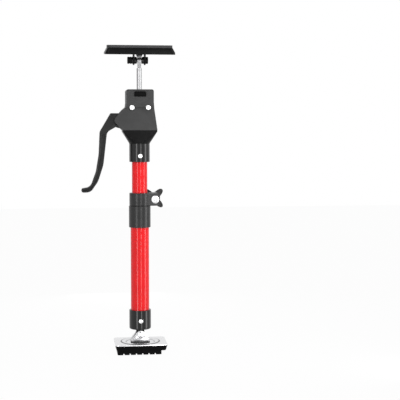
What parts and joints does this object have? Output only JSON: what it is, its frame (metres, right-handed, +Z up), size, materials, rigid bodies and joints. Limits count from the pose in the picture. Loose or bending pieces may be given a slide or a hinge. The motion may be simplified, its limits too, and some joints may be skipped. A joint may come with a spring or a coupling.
{
  "type": "telescopic support pole",
  "caption": "Spring-lever telescopic support pole with red tubes, black head, star knob clamp, chrome rod, tilting padded top plate and a rubber foot on a tilting yoke",
  "frame": {"origin": "the middle of the foot's underside, where the pole's axis meets the floor", "axes": "+Z up along the pole, the front faces -Y, the lever is on the -X side and the star knob on the +X side"},
  "size_m": [0.1493, 0.0668, 0.4984],
  "materials": {
    "foot_rubber": "smooth moulded rubber",
    "pad_rubber": "matte rubber sheet",
    "plated_steel": "zinc plated",
    "plain_steel": "plain hardened steel",
    "spring_steel": "drawn spring wire",
    "chrome_plate": "bright chrome plate",
    "bright_rivet": "bright rivet head",
    "black_steel": "black coated steel",
    "black_plastic": "satin black plastic",
    "gloss_black_plastic": "glossy black plastic",
    "natural_plastic": "natural acetal",
    "red_paint": "glossy red powder coat",
    "brass": "machined brass"
  },
  "bodies": {
    "foot": {"foot_pad": "foot_rubber", "foot_plate": "plated_steel", "yoke_washer": "black_plastic", "foot_yoke": "chrome_plate", "yoke_rivets": "plated_steel", "pivot_pin": "chrome_plate", "pivot_washers": "plated_steel"},
    "stem": {"swivel_stem": "black_steel", "stem_washer": "plated_steel", "stem_nut": "plated_steel"},
    "lower": {"end_cap": "gloss_black_plastic", "end_cap_rivets": "bright_rivet", "lower_tube": "red_paint", "coupler_sleeve": "black_plastic", "guide_bush": "natural_plastic", "clamp_ring": "black_plastic", "clamp_bolt": "chrome_plate", "clamp_washer": "plated_steel"},
    "knob": {"clamp_knob": "black_plastic", "knob_insert": "brass"},
    "tube_carrier": {"tube_end_ring": "natural_plastic"},
    "upper": {"tube_end_clip": "spring_steel", "tube_end_plug": "black_plastic", "upper_tube": "red_paint", "head_socket": "gloss_black_plastic", "socket_rivets": "bright_rivet", "lower_rod_bush": "natural_plastic", "seat_plate": "plated_steel", "drive_spring": "spring_steel", "lock_spring": "spring_steel", "rod_gland": "black_plastic", "front_cover": "black_plastic", "back_cover": "black_plastic", "cover_rivets": "bright_rivet", "lever_pin": "plated_steel"},
    "lever": {"lever": "black_plastic"},
    "drive": {"drive_plate": "plain_steel"},
    "release": {"lock_plate": "black_steel"},
    "rod_carrier": {"rod_guide": "natural_plastic"},
    "rod": {"push_rod": "chrome_plate", "rod_end_screw": "plated_steel", "rod_clip": "spring_steel"},
    "top": {"top_bracket": "black_steel", "bracket_rivet": "chrome_plate", "top_plate": "black_steel", "top_pad": "pad_rubber", "tilt_bolt": "black_steel", "spacer_bushes": "gloss_black_plastic", "tilt_washer": "gloss_black_plastic", "tilt_nuts": "black_steel"}
  },
  "joints": [
    {"name": "foot_tilt", "type": "hinge", "parent": "foot", "child": "stem", "pos_m": [0, 0, 0.0283], "axis": [0, 1, 0], "range_deg": [-35, 35]},
    {"name": "stem_swivel", "type": "hinge", "parent": "stem", "child": "lower", "pos_m": [0, 0, 0.0374], "axis": [0, 0, 1], "continuous": true},
    {"name": "clamp_knob_turn", "type": "hinge", "parent": "lower", "child": "knob", "pos_m": [0.0242, 0.0186, 0.24905], "axis": [0, 1, 0], "continuous": true},
    {"name": "tube_slide", "type": "slide", "parent": "lower", "child": "tube_carrier", "axis": [0, 0, 1], "range_m": [-0.049, 0.108]},
    {"name": "tube_turn", "type": "hinge", "parent": "tube_carrier", "child": "upper", "pos_m": [0, 0, 0.105], "axis": [0, 0, 1], "continuous": true},
    {"name": "lever_squeeze", "type": "hinge", "parent": "upper", "child": "lever", "pos_m": [-0.032, 0, 0.37576], "axis": [0, -1, 0], "range_deg": [0, 24], "stiffness_Nm_per_rad": 0.6, "springref_deg": -5.73},
    {"name": "drive_lift", "type": "slide", "parent": "upper", "child": "drive", "axis": [0, 0, 1], "range_m": [0, 0.0081], "deforming": ["drive_spring"]},
    {"name": "release_lift", "type": "hinge", "parent": "upper", "child": "release", "pos_m": [0, -0.02, 0.41593], "axis": [1, 0, 0], "range_deg": [0, 4], "stiffness_Nm_per_rad": 0.2, "springref_deg": -5.73, "deforming": ["lock_spring"]},
    {"name": "rod_slide", "type": "slide", "parent": "upper", "child": "rod_carrier", "axis": [0, 0, 1], "range_m": [-0.033, 0.085]},
    {"name": "rod_turn", "type": "hinge", "parent": "rod_carrier", "child": "rod", "pos_m": [0, 0, 0.2348], "axis": [0, 0, 1], "continuous": true},
    {"name": "top_tilt", "type": "hinge", "parent": "rod", "child": "top", "pos_m": [0, 0, 0.47235], "axis": [1, 0, 0], "range_deg": [-40, 40]}
  ],
  "couplings": [
    {"joint": "drive_lift", "follows": "lever_squeeze", "m_per_rad": 0.01926}
  ]
}
